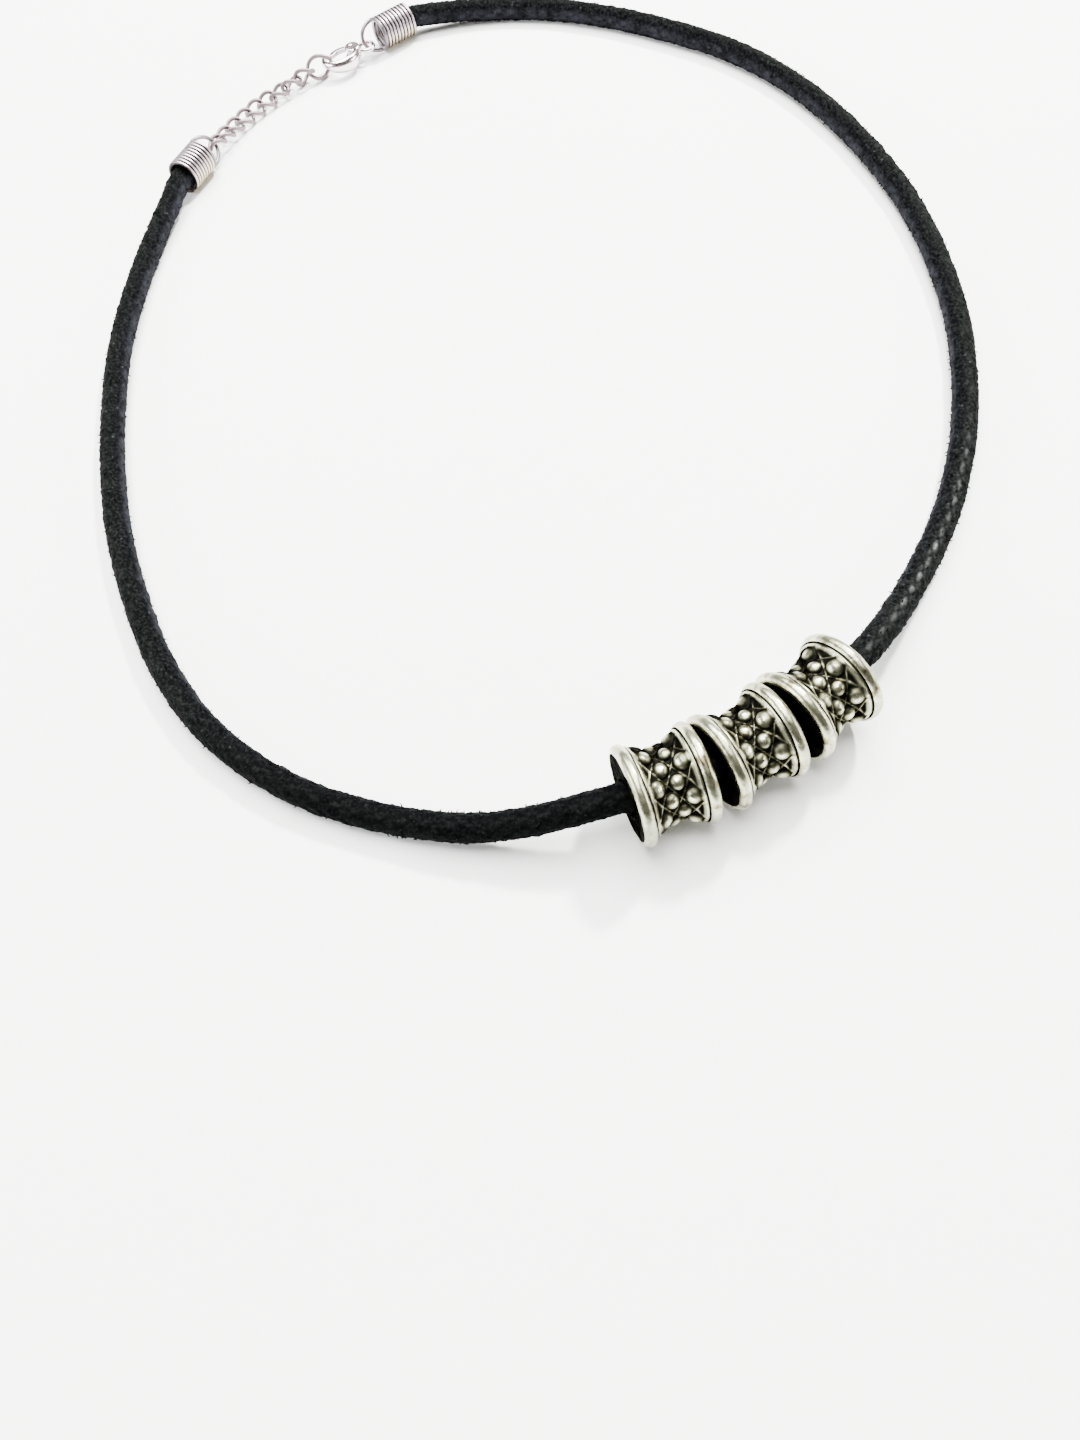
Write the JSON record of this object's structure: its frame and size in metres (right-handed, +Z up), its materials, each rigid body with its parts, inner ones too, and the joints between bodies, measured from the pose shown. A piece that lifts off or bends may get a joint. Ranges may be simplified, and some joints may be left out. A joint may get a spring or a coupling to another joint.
{
  "type": "cotton cord anklet",
  "caption": "Waxed cotton cord anklet with spool beads, spring coil ends, a short curb extension chain and a small lobster claw clasp, closed and lying flat.",
  "frame": {"origin": "middle of the box round the whole part, on the surface that it lies on", "axes": "+X to the right of the oval, +Y from the beads towards the clasp, +Z up off the surface"},
  "size_m": [0.0752, 0.101, 0.007],
  "materials": {
    "waxed_cord": "waxed braid, low sheen",
    "bead_metal": "antique silver plate, dark in the recesses",
    "coil_wire": "bright plated wire",
    "chain_wire": "bright plated wire",
    "clasp_metal": "bright plated casting"
  },
  "bodies": {
    "anklet": {"cord": "waxed_cord", "coil_end_left": "coil_wire", "coil_end_right": "coil_wire", "bead_1": "bead_metal", "bead_2": "bead_metal", "bead_3": "bead_metal", "chain_link_1": "chain_wire", "chain_link_2": "chain_wire", "chain_link_3": "chain_wire", "chain_link_4": "chain_wire", "chain_link_5": "chain_wire", "chain_link_6": "chain_wire", "chain_link_7": "chain_wire", "chain_link_8": "chain_wire", "chain_link_9": "chain_wire", "chain_link_10": "chain_wire", "clasp_body": "clasp_metal"},
    "lever": {"clasp_lever": "clasp_metal"}
  },
  "joints": [
    {"name": "lever_hinge", "type": "hinge", "parent": "anklet", "child": "lever", "pos_m": [-0.01213, 0.04558, 0.0012], "axis": [-0.0094, -0.0045, 0.9999], "range_deg": [0, 25], "stiffness_Nm_per_rad": 0.00002}
  ]
}
